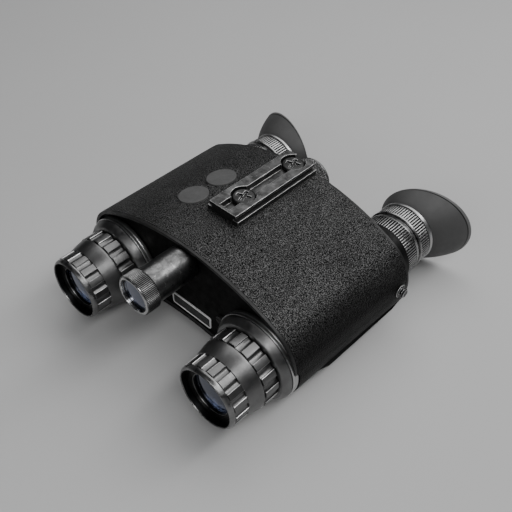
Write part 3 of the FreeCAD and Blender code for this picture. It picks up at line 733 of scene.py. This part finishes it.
# The floors of the crossing grooves get the second slot: painted shade.
def cap_slot(r, y, a):
    inside = r > CAP_R - 0.5 and CAP_FROM + 0.1 < y < CAP_TO - 0.1
    return 1 if inside and cap_groove(y, a) > 0.72 else 0


cap = [(6.2, 80.1), (7.1, 80.1), (7.4, 80.4), (CAP_R, 80.6), (CAP_R, CAP_FROM)]
cap += [(CAP_R, CAP_FROM + (CAP_TO - CAP_FROM) * k / CAP_STEPS) for k in range(1, CAP_STEPS + 1)]
cap += [(CAP_R, 87.4), (7.35, 87.7), (7.0, 88.2), (6.8, 88.28), (4.8, 88.3), (4.6, 88.2), (4.3, 87.75),
        (3.0, 87.7), (0.4, 87.7), (0.02, 87.7), (0.02, 84.6), (6.2, 84.6)]
lathe("battery_door", 0, CAP_Z, cap, [M["cap"], M["eye_dark_and_groove_shade"]], "battery_cap_body",
      ["battery_cap"], CAP_TEETH * 8, cap_shape, sharp=60.0, slot_at=cap_slot)


# ---------------------------------------------------------------- rail, screws, studs, badge

refined("mounting_rail", M["rail"], "housing", 0.16, M["rail_edge"])
refined("rail_screws", M["screw"], "housing", 0.14, M["rail_edge"])
refined("strap_studs", M["stud"], "housing", 0.15, M["rail_edge"])

BADGE_LOW, BADGE_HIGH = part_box("badge")


def badge():
    """Plain blank plate: a raised bright border round a dark field."""
    cx = (BADGE_LOW.x + BADGE_HIGH.x) / 2
    cz = (BADGE_LOW.z + BADGE_HIGH.z) / 2
    half_x = (BADGE_HIGH.x - BADGE_LOW.x) / 2
    half_z = (BADGE_HIGH.z - BADGE_LOW.z) / 2

    def outline(inset, y):
        points = []
        corner = max(0.9 * MM - inset, 0.15 * MM)
        for sx, sz, start in ((1, 1, 0), (-1, 1, 90), (-1, -1, 180), (1, -1, 270)):
            for k in range(7):
                a = math.radians(start + 15 * k)
                points.append(Vector((cx + sx * (half_x - inset - corner) + corner * math.cos(a), y,
                                      cz + sz * (half_z - inset - corner) + corner * math.sin(a))))
        return points

    front = BADGE_LOW.y
    back = BADGE_HIGH.y
    loops = [outline(0.0, back), outline(0.0, front + 0.12 * MM), outline(0.1 * MM, front),
             outline(0.42 * MM, front), outline(0.5 * MM, front + 0.18 * MM)]
    verts = [v for one in loops for v in one]
    count = len(loops[0])
    faces = [tuple(range(count)), tuple(range(4 * count, 5 * count))]
    for i in range(4):
        faces += [(i * count + k, i * count + (k + 1) % count, (i + 1) * count + (k + 1) % count,
                   (i + 1) * count + k) for k in range(count)]
    piece = add_piece("blank_badge", verts, faces, [M["badge_border"], M["badge_field"]], "housing",
                      ["badge"])
    for face in piece.data.polygons:
        if len(face.vertices) > 4 and face.center.y < (front + back) / 2:
            face.material_index = 1


badge()


# ---------------------------------------------------------------- floor, lights, camera

FLOOR_HALF = 2.0
FLOOR_CORNERS = [(x * FLOOR_HALF, y * FLOOR_HALF, 0.0) for x, y in ((-1, -1), (1, -1), (1, 1), (-1, 1))]
floor_mesh = bpy.data.meshes.new("floor")
floor_mesh.from_pydata(FLOOR_CORNERS, [], [(0, 1, 2, 3)])
floor = bpy.data.objects.new("floor", floor_mesh)
bpy.context.scene.collection.objects.link(floor)
floor_mesh.materials.append(finish("floor_paint", 0.5, 0.52, 0.0, 0.9, 3.0, 40.0, 0.0, rough_swing=0.02))

world = bpy.data.worlds.new("studio")
bpy.context.scene.world = world
world.use_nodes = True
world.node_tree.nodes["Background"].inputs[0].default_value = (0.9, 0.94, 1.0, 1.0)
world.node_tree.nodes["Background"].inputs[1].default_value = 0.03


def softbox(name, azimuth, elevation, distance, size, power):
    """Area light aimed at the object; azimuth 0 is in front of the objectives, 90 towards +X.

    distance and size are in metres, power is in watts.
    """
    a = math.radians(azimuth)
    e = math.radians(elevation)
    away = Vector((math.sin(a) * math.cos(e), -math.cos(a) * math.cos(e), math.sin(e)))
    light = bpy.data.lights.new(name, "AREA")
    light.shape = "RECTANGLE"
    light.size = size[0]
    light.size_y = size[1]
    light.energy = power
    lamp = bpy.data.objects.new(name, light)
    bpy.context.scene.collection.objects.link(lamp)
    lamp.location = away * distance + Vector((0, 0, 0.02))
    lamp.rotation_mode = "QUATERNION"
    lamp.rotation_quaternion = away.to_track_quat("Z", "Y")


softbox("right_strip", 90.0, 60.0, 0.6, (1.8, 0.12), 4.6)
softbox("wide_back", 196.0, 62.0, 0.6, (0.8, 0.46), 2.4)
softbox("front_fill", 8.0, 28.0, 0.7, (0.34, 0.2), 0.5)

CAMERA_AT = (128.319, -78.903, 176.713)
CAMERA_AZIMUTH = 43.393
CAMERA_ELEVATION = 43.697
camera_data = bpy.data.cameras.new("view")
camera_data.lens = 50.0
camera_data.sensor_width = 36.0
camera_data.clip_start = 0.01
camera_data.clip_end = 20.0
camera = bpy.data.objects.new("view", camera_data)
bpy.context.scene.collection.objects.link(camera)
camera.location = place(*CAMERA_AT)
camera.rotation_euler = (math.radians(90 - CAMERA_ELEVATION), 0.0, math.radians(CAMERA_AZIMUTH))
bpy.context.scene.camera = camera
